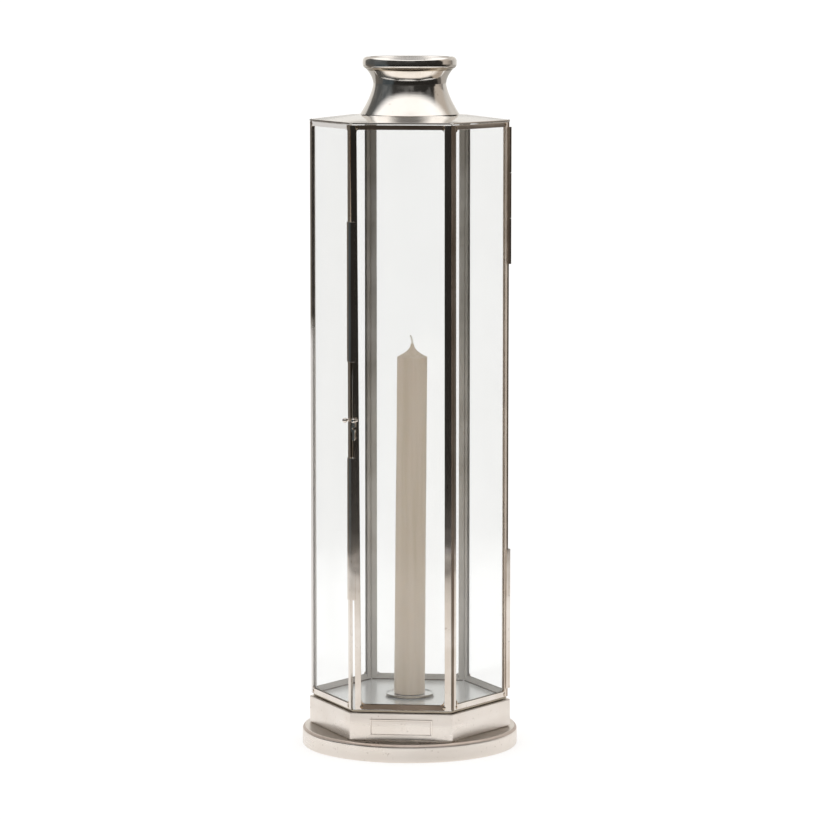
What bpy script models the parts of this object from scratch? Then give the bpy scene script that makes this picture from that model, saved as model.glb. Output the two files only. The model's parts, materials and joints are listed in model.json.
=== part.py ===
"""Hexagonal candle lantern: six framed panes between a round-footed base and a roof with an open neck.

The front pane and the pane to its right are one rigid door, hung on two long barrel hinges at the
right corner and closed by a small hook at the left front corner.  Metres, +Z up; the origin is under the
middle of the foot.  Corners are counted counterclockwise from +X, and panel i runs from corner i to i + 1.
"""
import math

import bmesh
import bpy
from mathutils import Matrix, Vector

# Driving dimensions
GAP = 0.0003  # between pieces that touch on the real lantern
CUT_PAST = 0.002  # how far a cutter runs past the face that it opens

FOOT_R = 0.0754
FOOT_H = 0.0127
FOOT_WALL = 0.0014
FOOT_HOLE_R = 0.030
FOOT_LEDGE_R = 0.067
FOOT_EDGE_R = 0.0024
FOOT_LOWER_EDGE_R = 0.0010

BASE_R = 0.0709  # corner radius of the hexagonal base box
BASE_H = 0.0189
BASE_WALL = 0.0014
BASE_LEDGE_R = 0.0600

FLOOR_R = 0.0682
FLOOR_T = 0.0014

CAGE_R = 0.0698  # corner radius of the glazed cage
CAGE_D = 0.0022  # depth of a channel strip, through the panel
STILE_W = [0.0040, 0.0052, 0.0052, 0.0033, 0.0041, 0.0046]  # of the two hand-cut stiles at each corner
RAIL_H = {"bottom": 0.0038, "top": 0.0031}
SLOT_DEPTH = 0.0019
SLOT_W = 0.0016
GLASS_T = 0.0012
MITRE_GAP = 0.0002
DOOR_GAP = 0.0005
HINGE_SPACE = {"top": 0.0014, "bottom": 0.0012}  # left free for the barrels by the door's stile
HINGE_FRAME_SPACE = 0.0012

ROOF_R = 0.0697
ROOF_EDGE_Z = 0.4383
ROOF_RIM_H = 0.0012
ROOF_RIM_W = 0.0041
ROOF_LAND_R = 0.0400
ROOF_LAND_Z = 0.4418
ROOF_T = 0.0012
ROOF_HOLE_R = 0.0245

NECK_FOOT_R = 0.0344
NECK_MIN_R = 0.0253
NECK_MIN_Z = 0.4632
NECK_FLARE_POWER = 1.5
NECK_CREASE = (0.0263, 0.4674)
NECK_FUNNEL_TOP = (0.0292, 0.4722)
NECK_T = 0.0012
RIM_EDGE_R = 0.0030  # rounding of the rolled rim, above and below its upright side
RIM_CENTRE_R = 0.0295
RIM_SIDE_Z = (0.4764, 0.4786)

TRAY_R = 0.01725
TRAY_T = 0.0008
TRAY_LIP_H = 0.0016
SPIKE_COLLAR_R = 0.0034
SPIKE_R = 0.0018
SPIKE_H = 0.0200
SHANK_R = 0.0024
SHANK_BOTTOM_Z = 0.0240
WASHER_R = 0.0050
WASHER_T = 0.0010
NUT_FLAT_W = 0.0080
NUT_H = 0.0040

CANDLE_BOTTOM_R = 0.0109
CANDLE_TOP_R = 0.0106
CANDLE_SHOULDER_Z = 0.2727
CANDLE_SHOULDER_R = 0.0006
CANDLE_TIP_R = 0.0020
CANDLE_TIP_H = 0.0098
CANDLE_TIP_POWER = 1.9  # how sharply the tip's sides curve in towards the wick
CANDLE_OFFSET_X = -0.0002
CANDLE_LEAN = math.radians(0.46)
WICK_R = 0.0007
WICK_TOP_Z = 0.2883
WICK_HOLE_R = 0.0011
WICK_HOLE_DEPTH = 0.0040
WICK_BEND_FROM = 0.4  # share of its length that stays straight
WICK_BEND = (-0.0035, -0.0008)

PLATE_W = 0.0434
PLATE_H = 0.0112
PLATE_T = 0.0008
PLATE_Z = 0.0221
PLATE_BEVEL = 0.00025

BARREL_R = 0.0010
BARREL_BORE_R = 0.00062
PIN_R = 0.0005
BARREL_X = 0.0698
HINGE_SPANS = {"lower": (0.0400, 0.1386), "upper": (0.3385, 0.4334)}
LEAF_T = 0.0005
LEAF_START = 0.0015  # clear of the other leaf when the door lies open
LEAF_WEB_START = 0.0006  # just outside the barrel's bore
LEAF_END = 0.0040
LEAF_TAIL_INSET = 0.00002  # keeps the joined faces of leaf and barrel from being coplanar
KNUCKLE_GAP = 0.0004

STRIP_T = 0.0006
STRIP_SPANS = {"lower": (0.1105, 0.2090), "upper": (0.2751, 0.3709)}
STRIP_FIXED_LEG = 0.0036
STRIP_DOOR_LEG = 0.0034

LATCH_Z = 0.2352
PIVOT_ALONG = 0.0041  # from the cage corner, along the door's front face
STUD_ALONG = 0.0026  # from the cage corner, along the fixed left face
HOOK_INNER = 0.0006  # the hook's inner face, outward from the corner
HOOK_T = 0.0009
HOOK_EYE_R = 0.0019
HOOK_HOLE_R = 0.0009
HOOK_NOTCH_R = 0.0009
HOOK_HALF_W = 0.0011
HOOK_LIP = 0.0012  # from the hook's middle line to the mouth of its notch
HOOK_BACK = 0.0019  # from the hook's middle line to the bulge behind its notch
HOOK_BULGE = 0.0012
HOOK_TAPER = 0.0021
HOOK_NECK_HALF_W = 0.0010
HOOK_TAIL = 0.0126
HOOK_TAIL_R = 0.0012
HOOK_TAIL_HALF_W = 0.0007
LATCH_PIN_R = 0.0007
PIVOT_HEAD_R = 0.0015
PIVOT_HEAD_EDGE_R = 0.0010
PIVOT_HEAD_H = 0.0008
PIVOT_SHOULDER_R = 0.0013
CATCH_BALL_R = 0.0017
CATCH_FOOT_R = 0.0012
CATCH_CONE_H = 0.0006
STUD_ROOT = 0.0045  # how far both studs run back before they are cut flat on their faces
SEAT_CUTTER = 0.020

# The hand-fitted door is a little out of square: how far each of its stiles stands off its corner.
DOOR_LEFT_OFF = {"top": 0.0002, "bottom": 0.0030}
DOOR_FOLD_FRONT_OFF = {"top": 0.0007, "bottom": 0.0002}
DOOR_FOLD_SIDE_OFF = {"top": 0.0002, "bottom": 0.0010}

SEGMENTS_LARGE = 48
SEGMENTS_MEDIUM = 32
SEGMENTS_SMALL = 20

PANELS = ["back_right", "back", "back_left", "left", "front", "right"]
DOOR_PANELS = ("front", "right")
UP = Vector((0, 0, 1))

# Heights that follow from the driving dimensions
BASE_BOTTOM_Z = FOOT_H + GAP
BASE_TOP_Z = BASE_BOTTOM_Z + BASE_H
FLOOR_BOTTOM_Z = BASE_TOP_Z + GAP
FLOOR_TOP_Z = FLOOR_BOTTOM_Z + FLOOR_T
ROOF_RIM_BOTTOM_Z = ROOF_EDGE_Z - ROOF_RIM_H
TRAY_BOTTOM_Z = FLOOR_TOP_Z + GAP
TRAY_TOP_Z = TRAY_BOTTOM_Z + TRAY_T
CANDLE_BOTTOM_Z = TRAY_TOP_Z + GAP


def clear_scene():
    for old in list(bpy.data.objects):
        bpy.data.objects.remove(old, do_unlink=True)
    for old in list(bpy.data.meshes):
        bpy.data.meshes.remove(old)


def new_collection(name):
    collection = bpy.data.collections.new(name)
    bpy.context.scene.collection.children.link(collection)
    return collection


def new_material(name, colour, roughness, metallic=0.0, transmission=0.0):
    material = bpy.data.materials.new(name)
    material.use_nodes = True
    shader = material.node_tree.nodes["Principled BSDF"]
    shader.inputs["Base Color"].default_value = (*colour, 1.0)
    shader.inputs["Roughness"].default_value = roughness
    shader.inputs["Metallic"].default_value = metallic
    shader.inputs["Transmission Weight"].default_value = transmission
    material.diffuse_color = (*colour, 1.0)
    return material


def add_object(name, mesh, material):
    part = bpy.data.objects.new(name, mesh)
    PARTS.objects.link(part)
    mesh.materials.clear()
    mesh.materials.append(material)
    return part


def arc(centre, radius, start_deg, end_deg, count):
    """Points from start to end, both included."""
    points = []
    for k in range(count + 1):
        angle = math.radians(start_deg + (end_deg - start_deg) * k / count)
        points.append((centre[0] + radius * math.cos(angle), centre[1] + radius * math.sin(angle)))
    return points


def circle(radius, count):
    return arc((0, 0), radius, 0, 360, count)[:-1]


def extruded_mesh(name, outlines, depth, matrix=None):
    """A flat outline, with holes if more outlines follow, thickened by depth about its own plane."""
    curve = bpy.data.curves.new(name, "CURVE")
    curve.dimensions = "2D"
    curve.fill_mode = "BOTH"
    curve.extrude = depth / 2
    for outline in outlines:
        spline = curve.splines.new("POLY")
        spline.points.add(len(outline) - 1)
        for point, (x, y) in zip(spline.points, outline):
            point.co = (x, y, 0, 1)
        spline.use_cyclic_u = True
    guide = bpy.data.objects.new(name + "_outline", curve)
    PARTS.objects.link(guide)
    evaluated = guide.evaluated_get(bpy.context.evaluated_depsgraph_get())
    mesh = bpy.data.meshes.new_from_object(evaluated)
    bpy.data.objects.remove(guide, do_unlink=True)
    work = bmesh.new()
    work.from_mesh(mesh)
    bmesh.ops.remove_doubles(work, verts=work.verts, dist=1e-6)
    bmesh.ops.recalc_face_normals(work, faces=work.faces)
    work.to_mesh(mesh)
    work.free()
    if matrix is not None:
        mesh.transform(matrix)
        if matrix.determinant() < 0:
            mesh.flip_normals()
    return mesh


def extruded(name, outlines, depth, material, matrix=None):
    return add_object(name, extruded_mesh(name, outlines, depth, matrix), material)


def turned(name, profile, steps, material, closed=False, smooth_deg=40):
    """A profile of (radius, height) points, running down the outer side, turned about Z."""
    count = len(profile)
    edges = [(k, k + 1) for k in range(count - 1)]
    if closed:
        edges.append((count - 1, 0))
    mesh = bpy.data.meshes.new(name)
    mesh.from_pydata([(r, 0, z) for r, z in profile], edges, [])
    part = add_object(name, mesh, material)
    screw = part.modifiers.new("turn", "SCREW")
    screw.axis = "Z"
    screw.steps = steps
    screw.render_steps = steps
    screw.use_merge_vertices = True
    screw.merge_threshold = 0.00001
    solid = bpy.data.meshes.new_from_object(part.evaluated_get(bpy.context.evaluated_depsgraph_get()))
    part.modifiers.clear()
    part.data = solid
    bpy.data.meshes.remove(mesh)
    if smooth_deg:
        solid.shade_smooth()
        solid.set_sharp_from_angle(angle=math.radians(smooth_deg))
    return part


def frame_matrix(x_axis, y_axis, z_axis, origin):
    matrix = Matrix.Identity(4)
    for column, vector in enumerate((x_axis, y_axis, z_axis, origin)):
        for row in range(3):
            matrix[row][column] = vector[row]
    return matrix


def combine(part, tool, operation):
    """Joins the tool to the part or cuts the part with it, then hides the tool among the cutters."""
    boolean = part.modifiers.new(operation.lower(), "BOOLEAN")
    boolean.operation = operation
    boolean.solver = "EXACT"
    boolean.object = tool
    for holder in list(tool.users_collection):
        holder.objects.unlink(tool)
    CUTTERS.objects.link(tool)
    tool.hide_render = True
    tool.display_type = "WIRE"


def cylinder(name, radius, bottom, top, material, vertices=SEGMENTS_SMALL, centre=(0, 0)):
    bpy.ops.mesh.primitive_cylinder_add(
        vertices=vertices, radius=radius, depth=top - bottom, location=(*centre, (top + bottom) / 2)
    )
    part = bpy.context.object
    part.name = name
    for holder in list(part.users_collection):
        holder.objects.unlink(part)
    PARTS.objects.link(part)
    part.data.materials.append(material)
    part.data.shade_smooth()
    part.data.set_sharp_from_angle(angle=math.radians(40))
    return part


def corner(index, radius):
    angle = math.radians(60 * index)
    return Vector((radius * math.cos(angle), radius * math.sin(angle), 0))


def hexagon(radius):
    return [(corner(k, radius).x, corner(k, radius).y) for k in range(6)]


# --- base -------------------------------------------------------------------------------------------

def make_foot():
    inner = FOOT_R - FOOT_WALL
    profile = [(FOOT_HOLE_R, FOOT_H)]
    profile += arc((FOOT_R - FOOT_EDGE_R, FOOT_H - FOOT_EDGE_R), FOOT_EDGE_R, 90, 0, 5)
    profile += arc((FOOT_R - FOOT_LOWER_EDGE_R, FOOT_LOWER_EDGE_R), FOOT_LOWER_EDGE_R, 0, -90, 3)
    profile += [(FOOT_LEDGE_R, 0), (FOOT_LEDGE_R, FOOT_WALL), (inner, FOOT_WALL)]
    profile += [(inner, FOOT_H - FOOT_EDGE_R), (inner - FOOT_WALL, FOOT_H - FOOT_WALL)]
    profile += [(FOOT_HOLE_R, FOOT_H - FOOT_WALL)]
    turned("foot", profile, SEGMENTS_LARGE, NICKEL, closed=True)


def make_base_box():
    inner = BASE_R - BASE_WALL
    profile = [
        (BASE_R, BASE_TOP_Z),
        (BASE_R, BASE_BOTTOM_Z),
        (inner, BASE_BOTTOM_Z),
        (inner, BASE_TOP_Z - BASE_WALL),
        (BASE_LEDGE_R, BASE_TOP_Z - BASE_WALL),
        (BASE_LEDGE_R, BASE_TOP_Z),
    ]
    turned("base_box", profile, 6, NICKEL, closed=True, smooth_deg=0)


def make_floor_plate():
    middle = frame_matrix((1, 0, 0), (0, 1, 0), UP, (0, 0, (FLOOR_BOTTOM_Z + FLOOR_TOP_Z) / 2))
    hole = circle(SHANK_R + GAP, SEGMENTS_SMALL)
    extruded("floor_plate", [hexagon(FLOOR_R), hole], FLOOR_T, MIRROR, middle)


def make_nameplate():
    front = -BASE_R * math.cos(math.radians(30)) - GAP
    outline = [
        (-PLATE_W / 2, -PLATE_H / 2),
        (PLATE_W / 2, -PLATE_H / 2),
        (PLATE_W / 2, PLATE_H / 2),
        (-PLATE_W / 2, PLATE_H / 2),
    ]
    place = frame_matrix((1, 0, 0), UP, (0, -1, 0), (0, front - PLATE_T / 2, PLATE_Z))
    plate = extruded("nameplate", [outline], PLATE_T, NICKEL, place)
    bevel = plate.modifiers.new("edges", "BEVEL")
    bevel.width = PLATE_BEVEL
    bevel.segments = 1


# --- candle holder ----------------------------------------------------------------------------------

def make_drip_tray():
    lip = TRAY_BOTTOM_Z + TRAY_LIP_H
    hole = SHANK_R + GAP
    profile = [
        (hole, TRAY_TOP_Z),
        (TRAY_R - 2 * TRAY_T, TRAY_TOP_Z),
        (TRAY_R - TRAY_T, lip),
        (TRAY_R, lip),
        (TRAY_R - TRAY_T, TRAY_BOTTOM_Z),
        (hole, TRAY_BOTTOM_Z),
    ]
    turned("drip_tray", profile, SEGMENTS_MEDIUM, NICKEL, closed=True)


def make_spike():
    collar_bottom = TRAY_TOP_Z + GAP
    collar_top = collar_bottom + TRAY_T
    profile = [
        (0, collar_top + SPIKE_H),
        (SPIKE_R, collar_top),
        (SPIKE_COLLAR_R, collar_top),
        (SPIKE_COLLAR_R, collar_bottom),
        (SHANK_R, collar_bottom),
        (SHANK_R, SHANK_BOTTOM_Z),
        (0, SHANK_BOTTOM_Z),
    ]
    turned("candle_spike", profile, SEGMENTS_SMALL, STEEL, smooth_deg=30)


def make_spike_fasteners():
    washer_top = FLOOR_BOTTOM_Z - GAP
    washer_middle = (0, 0, washer_top - WASHER_T / 2)
    hole = circle(SHANK_R + GAP, SEGMENTS_SMALL)
    place = frame_matrix((1, 0, 0), (0, 1, 0), UP, washer_middle)
    extruded("spike_washer", [circle(WASHER_R, SEGMENTS_MEDIUM), hole], WASHER_T, STEEL, place)
    nut_top = washer_top - WASHER_T - GAP
    place = frame_matrix((1, 0, 0), (0, 1, 0), UP, (0, 0, nut_top - NUT_H / 2))
    nut_corner_r = NUT_FLAT_W / 2 / math.cos(math.radians(30))
    extruded("spike_nut", [hexagon(nut_corner_r), hole], NUT_H, STEEL, place)


def candle_centre(height):
    """The candle's axis leans a little, so its middle drifts with height."""
    return CANDLE_OFFSET_X + math.tan(CANDLE_LEAN) * (height - CANDLE_BOTTOM_Z)


def make_candle():
    tip_z = CANDLE_SHOULDER_Z + CANDLE_TIP_H
    tip_base_r = CANDLE_TOP_R - CANDLE_SHOULDER_R
    profile = [(0, tip_z - WICK_HOLE_DEPTH), (WICK_HOLE_R, tip_z - WICK_HOLE_DEPTH)]
    profile += [(WICK_HOLE_R, tip_z)]
    steps = 6
    for k in range(steps + 1):
        t = k / steps
        radius = CANDLE_TIP_R + (tip_base_r - CANDLE_TIP_R) * t**CANDLE_TIP_POWER
        profile.append((radius, tip_z - (CANDLE_TIP_H - CANDLE_SHOULDER_R) * t))
    profile += [(CANDLE_TOP_R, CANDLE_SHOULDER_Z - CANDLE_SHOULDER_R), (CANDLE_BOTTOM_R, CANDLE_BOTTOM_Z)]
    profile += [(0, CANDLE_BOTTOM_Z)]
    candle = turned("candle", profile, SEGMENTS_MEDIUM, WAX)
    lean = Matrix.Translation((CANDLE_OFFSET_X, 0, CANDLE_BOTTOM_Z))
    lean = lean @ Matrix.Rotation(CANDLE_LEAN, 4, "Y") @ Matrix.Translation((0, 0, -CANDLE_BOTTOM_Z))
    candle.data.transform(lean)

    collar_top = TRAY_TOP_Z + GAP + TRAY_T
    bore = [
        (0, collar_top + SPIKE_H + 2 * GAP),
        (2 * GAP, collar_top + SPIKE_H + 2 * GAP),
        (SPIKE_R + GAP, collar_top + GAP),
        (SPIKE_COLLAR_R + GAP, collar_top + GAP),
        (SPIKE_COLLAR_R + GAP, CANDLE_BOTTOM_Z - CUT_PAST),
        (0, CANDLE_BOTTOM_Z - CUT_PAST),
    ]
    combine(candle, turned("spike_bore", bore, SEGMENTS_SMALL, WAX), "DIFFERENCE")


def make_wick():
    base_z = CANDLE_SHOULDER_Z + CANDLE_TIP_H - WICK_HOLE_DEPTH + GAP
    base_x = candle_centre(base_z)
    rise = WICK_TOP_Z - base_z
    curve = bpy.data.curves.new("wick", "CURVE")
    curve.dimensions = "3D"
    curve.bevel_depth = WICK_R
    curve.bevel_resolution = 2
    curve.use_fill_caps = True
    spline = curve.splines.new("POLY")
    count = 8
    spline.points.add(count - 1)
    for k, point in enumerate(spline.points):
        t = k / (count - 1)
        bend = max(0.0, t - WICK_BEND_FROM) ** 2
        point.co = (base_x + WICK_BEND[0] * bend, WICK_BEND[1] * bend, base_z + rise * t, 1)
    guide = bpy.data.objects.new("wick_line", curve)
    PARTS.objects.link(guide)
    mesh = bpy.data.meshes.new_from_object(guide.evaluated_get(bpy.context.evaluated_depsgraph_get()))
    bpy.data.objects.remove(guide, do_unlink=True)
    work = bmesh.new()
    work.from_mesh(mesh)
    bmesh.ops.remove_doubles(work, verts=work.verts, dist=1e-6)
    work.to_mesh(mesh)
    work.free()
    mesh.shade_smooth()
    add_object("wick", mesh, COTTON)


# --- glazed cage ------------------------------------------------------------------------------------

class Panel:
    """One side of the cage: where its four channel strips and its pane go."""

    def __init__(self, index):
        self.name = PANELS[index]
        self.door = self.name in DOOR_PANELS
        self.start = corner(index, CAGE_R)
        self.along = (corner(index + 1, CAGE_R) - self.start).normalized()
        self.inward = -(self.start + corner(index + 1, CAGE_R)).normalized()
        spare = DOOR_GAP if self.door else GAP
        self.bottom = FLOOR_TOP_Z + spare
        self.top = ROOF_RIM_BOTTOM_Z - spare
        self.widths = {"start": STILE_W[index], "end": STILE_W[(index + 1) % 6]}
        square = {"top": MITRE_GAP, "bottom": MITRE_GAP}
        self.off_start = square
        self.off_end = square
        if self.name == "front":
            self.off_start = DOOR_LEFT_OFF
            self.off_end = DOOR_FOLD_FRONT_OFF
        if self.name == "right":
            self.off_start = DOOR_FOLD_SIDE_OFF
            self.off_end = HINGE_SPACE
        if self.name == "back_right":
            self.off_start = {"top": HINGE_FRAME_SPACE, "bottom": HINGE_FRAME_SPACE}

    def stand_off(self, end, height):
        """Distance of a stile's outer edge from its corner at a height."""
        off = self.off_start if end == "start" else self.off_end
        t = (height - self.bottom) / (self.top - self.bottom)
        return off["bottom"] + (off["top"] - off["bottom"]) * t

    def point(self, along, height, depth=0.0):
        return self.start + self.along * along + self.inward * depth + UP * height


def channel_outline(width, mitred):
    """Section of a channel strip: x from its outer edge towards the glass, y inward."""
    slot_low = (CAGE_D - SLOT_W) / 2
    slot_high = slot_low + SLOT_W
    inner_start = CAGE_D * math.tan(math.radians(30)) if mitred else 0.0
    return [
        (0, 0),
        (width, 0),
        (width, slot_low),
        (width - SLOT_DEPTH, slot_low),
        (width - SLOT_DEPTH, slot_high),
        (width, slot_high),
        (width, CAGE_D),
        (inner_start, CAGE_D),
    ]


def make_stile(panel, end):
    height = panel.top - panel.bottom
    low = panel.stand_off(end, panel.bottom)
    high = panel.stand_off(end, panel.top)
    direction = 1 if end == "start" else -1
    origin_low = low if end == "start" else CAGE_R - low
    origin_high = high if end == "start" else CAGE_R - high
    foot = panel.point(origin_low, panel.bottom)
    head = panel.point(origin_high, panel.top)
    place = frame_matrix(panel.along * direction, panel.inward, (head - foot) / height, (foot + head) / 2)
    name = f"{panel.name}_stile_{'a' if end == 'start' else 'b'}"
    extruded(name, [channel_outline(panel.widths[end], True)], height, NICKEL, place)


def make_rail(panel, level):
    height = panel.bottom if level == "bottom" else panel.top
    direction = 1 if level == "bottom" else -1
    first = panel.stand_off("start", height) + panel.widths["start"] + GAP
    last = CAGE_R - panel.stand_off("end", height) - panel.widths["end"] - GAP
    place = frame_matrix(UP * direction, panel.inward, panel.along, panel.point((first + last) / 2, height))
    name = f"{panel.name}_rail_{level}"
    extruded(name, [channel_outline(RAIL_H[level], False)], last - first, NICKEL, place)


def make_pane(panel):
    first = panel.widths["start"] - SLOT_DEPTH + GAP
    last = CAGE_R - (panel.widths["end"] - SLOT_DEPTH + GAP)
    low = panel.bottom + RAIL_H["bottom"] - SLOT_DEPTH + GAP
    high = panel.top - RAIL_H["top"] + SLOT_DEPTH - GAP
    outline = [
        (first + panel.stand_off("start", low), low),
        (last - panel.stand_off("end", low), low),
        (last - panel.stand_off("end", high), high),
        (first + panel.stand_off("start", high), high),
    ]
    place = frame_matrix(panel.along, UP, -panel.inward, panel.point(0, 0, CAGE_D / 2))
    extruded(f"{panel.name}_pane", [outline], GLASS_T, GLASS, place)


def make_cage():
    for index in range(6):
        panel = Panel(index)
        make_stile(panel, "start")
        make_stile(panel, "end")
        make_rail(panel, "bottom")
        make_rail(panel, "top")
        make_pane(panel)


# --- roof -------------------------------------------------------------------------------------------

def make_roof():
    rim_inner = ROOF_R - ROOF_RIM_W
    hole_corner_r = ROOF_HOLE_R - CUT_PAST
    profile = [
        (ROOF_R, ROOF_EDGE_Z),
        (ROOF_R, ROOF_RIM_BOTTOM_Z),
        (rim_inner, ROOF_RIM_BOTTOM_Z),
        (rim_inner, ROOF_EDGE_Z - ROOF_T / 2),
        (ROOF_LAND_R, ROOF_LAND_Z - ROOF_T),
        (hole_corner_r, ROOF_LAND_Z - ROOF_T),
        (hole_corner_r, ROOF_LAND_Z),
        (ROOF_LAND_R, ROOF_LAND_Z),
    ]
    roof = turned("roof", profile, 6, NICKEL, closed=True, smooth_deg=0)
    hole = cylinder("roof_hole", ROOF_HOLE_R, ROOF_EDGE_Z, ROOF_LAND_Z + CUT_PAST, NICKEL, SEGMENTS_MEDIUM)
    combine(roof, hole, "DIFFERENCE")


def neck_radius(height):
    """The neck's concave flare, from its narrowest ring down to its foot on the roof."""
    t = (NECK_MIN_Z - height) / (NECK_MIN_Z - ROOF_LAND_Z - GAP)
    return NECK_MIN_R + (NECK_FOOT_R - NECK_MIN_R) * max(0.0, t) ** NECK_FLARE_POWER


def make_neck():
    bottom = ROOF_LAND_Z + GAP
    steps = 7
    heights = [NECK_MIN_Z + (bottom - NECK_MIN_Z) * k / steps for k in range(steps + 1)]
    side_low, side_high = RIM_SIDE_Z
    profile = arc((RIM_CENTRE_R, side_high), RIM_EDGE_R, 90, 0, 4)
    profile += arc((RIM_CENTRE_R, side_low), RIM_EDGE_R, 0, -70, 4)
    profile += [NECK_FUNNEL_TOP, NECK_CREASE]
    profile += [(neck_radius(z), z) for z in heights]
    profile += [(neck_radius(z) - NECK_T, z) for z in reversed(heights)]
    profile += [(NECK_CREASE[0] - NECK_T, NECK_CREASE[1])]
    profile += arc((RIM_CENTRE_R, side_high), RIM_EDGE_R, 180, 120, 3)
    turned("neck", profile, SEGMENTS_MEDIUM, NICKEL, closed=True)


# --- hinges -----------------------------------------------------------------------------------------

def side_point(side, along, out):
    """A point by the hinge corner: along the outer face of the door (-1) or frame (1), and out from it."""
    tangent = Vector((-0.5, side * math.sin(math.radians(60)), 0))
    outward = Vector((math.sin(math.radians(60)), side * 0.5, 0))
    return corner(0, CAGE_R) + tangent * along + outward * out


def strip_on_face(name, side, first, last, low, high, bottom, top, material):
    """A flat strip lying on one face beside the hinge corner."""
    points = [(first, low), (last, low), (last, high), (first, high)]
    outline = [tuple(side_point(side, a, o).xy) for a, o in points]
    place = frame_matrix((1, 0, 0), (0, 1, 0), UP, (0, 0, (bottom + top) / 2))
    return extruded(name, [outline], top - bottom, material, place)


def make_hinge_half(name, side, span, knuckles):
    leaf = strip_on_face(name, side, LEAF_START, LEAF_END, GAP, GAP + LEAF_T, *span, NICKEL)
    low = GAP + LEAF_TAIL_INSET
    high = GAP + LEAF_T - LEAF_TAIL_INSET
    for number, (bottom, top) in enumerate(knuckles):
        place = frame_matrix((1, 0, 0), (0, 1, 0), UP, (BARREL_X, 0, (bottom + top) / 2))
        rings = [circle(BARREL_R, SEGMENTS_SMALL), circle(BARREL_BORE_R, SEGMENTS_SMALL)]
        barrel = extruded(f"{name}_barrel_{number}", rings, top - bottom, NICKEL, place)
        web_end = LEAF_START + LEAF_T
        web = (LEAF_WEB_START, web_end, low, high, bottom + LEAF_TAIL_INSET, top - LEAF_TAIL_INSET)
        tail = strip_on_face(f"{name}_tail_{number}", side, *web, NICKEL)
        combine(leaf, barrel, "UNION")
        combine(leaf, tail, "UNION")


def make_hinges():
    for level, (bottom, top) in HINGE_SPANS.items():
        third = (top - bottom) / 3
        lower = (bottom, bottom + third - KNUCKLE_GAP / 2)
        middle = (bottom + third + KNUCKLE_GAP / 2, top - third - KNUCKLE_GAP / 2)
        upper = (top - third + KNUCKLE_GAP / 2, top)
        make_hinge_half(f"{level}_hinge_frame_leaf", 1, (bottom, top), [lower, upper])
        make_hinge_half(f"{level}_hinge_door_leaf", -1, (bottom, top), [middle])
        cylinder(f"{level}_hinge_pin", PIN_R, bottom, top, STEEL, SEGMENTS_SMALL, (BARREL_X, 0))


# --- closing strips and latch at the left front corner --------------------------------------------------

LATCH_CORNER = corner(4, CAGE_R)
OUTWARD = LATCH_CORNER.normalized()
SIDEWAYS = Vector((-OUTWARD.y, OUTWARD.x, 0))
DOOR_ALONG = Vector((1, 0, 0))
DOOR_OUT = Vector((0, -1, 0))
FIXED_ALONG = (corner(3, CAGE_R) - LATCH_CORNER).normalized()
FIXED_OUT = Vector((-math.sin(math.radians(60)), -0.5, 0))


def make_stop_strips():
    """Folded strips soldered to the door's edge, which lap over the fixed stile and stop the door."""
    inner = GAP
    outer = GAP + STRIP_T
    fold = 1 / math.cos(math.radians(30))
    points = [
        LATCH_CORNER + FIXED_ALONG * STRIP_FIXED_LEG + FIXED_OUT * inner,
        LATCH_CORNER + OUTWARD * inner * fold,
        LATCH_CORNER + DOOR_ALONG * STRIP_DOOR_LEG + DOOR_OUT * inner,
        LATCH_CORNER + DOOR_ALONG * STRIP_DOOR_LEG + DOOR_OUT * outer,
        LATCH_CORNER + OUTWARD * outer * fold,
        LATCH_CORNER + FIXED_ALONG * STRIP_FIXED_LEG + FIXED_OUT * outer,
    ]
    outline = [tuple(point.xy) for point in points]
    for level, (bottom, top) in STRIP_SPANS.items():
        place = frame_matrix((1, 0, 0), (0, 1, 0), UP, (0, 0, (bottom + top) / 2))
        extruded(f"{level}_stop_strip", [outline], top - bottom, NICKEL, place)


def make_stud(name, profile, seat, face_out):
    """A turned pin that stands out from the corner, cut flat where it meets the face it is soldered to."""
    stud = turned(name, profile, SEGMENTS_SMALL, NICKEL)
    seat_in_plane = seat - OUTWARD * (seat - LATCH_CORNER).dot(OUTWARD)
    stud.data.transform(frame_matrix(SIDEWAYS, UP, OUTWARD, seat_in_plane))
    bpy.ops.mesh.primitive_cube_add(size=SEAT_CUTTER)
    block = bpy.context.object
    block.name = name + "_seat"
    across = face_out.cross(UP)
    middle = seat + face_out * (GAP - SEAT_CUTTER / 2)
    block.data.transform(frame_matrix(across, face_out, UP, middle))
    combine(stud, block, "DIFFERENCE")


def hook_outline(notch_at):
    """x runs from the pivot down the hanging hook, y towards the side that the notch opens on."""
    neck = math.degrees(math.asin(HOOK_HALF_W / HOOK_EYE_R))
    tail = math.degrees(math.asin(HOOK_TAIL_HALF_W / HOOK_TAIL_R))
    outline = arc((0, 0), HOOK_EYE_R, neck, 360 - neck, 12)
    outline += [(notch_at - HOOK_TAPER, -HOOK_HALF_W), (notch_at - HOOK_BULGE, -HOOK_BACK)]
    outline += [(notch_at + HOOK_BULGE, -HOOK_BACK), (notch_at + HOOK_TAPER, -HOOK_NECK_HALF_W)]
    outline += arc((HOOK_TAIL, 0), HOOK_TAIL_R, tail - 180, 180 - tail, 10)
    outline += [(notch_at + HOOK_TAPER, HOOK_NECK_HALF_W), (notch_at + HOOK_NOTCH_R, HOOK_LIP)]
    outline += arc((notch_at, 0), HOOK_NOTCH_R, 0, -180, 8)
    outline += [(notch_at - HOOK_NOTCH_R, HOOK_LIP)]
    return outline


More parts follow.
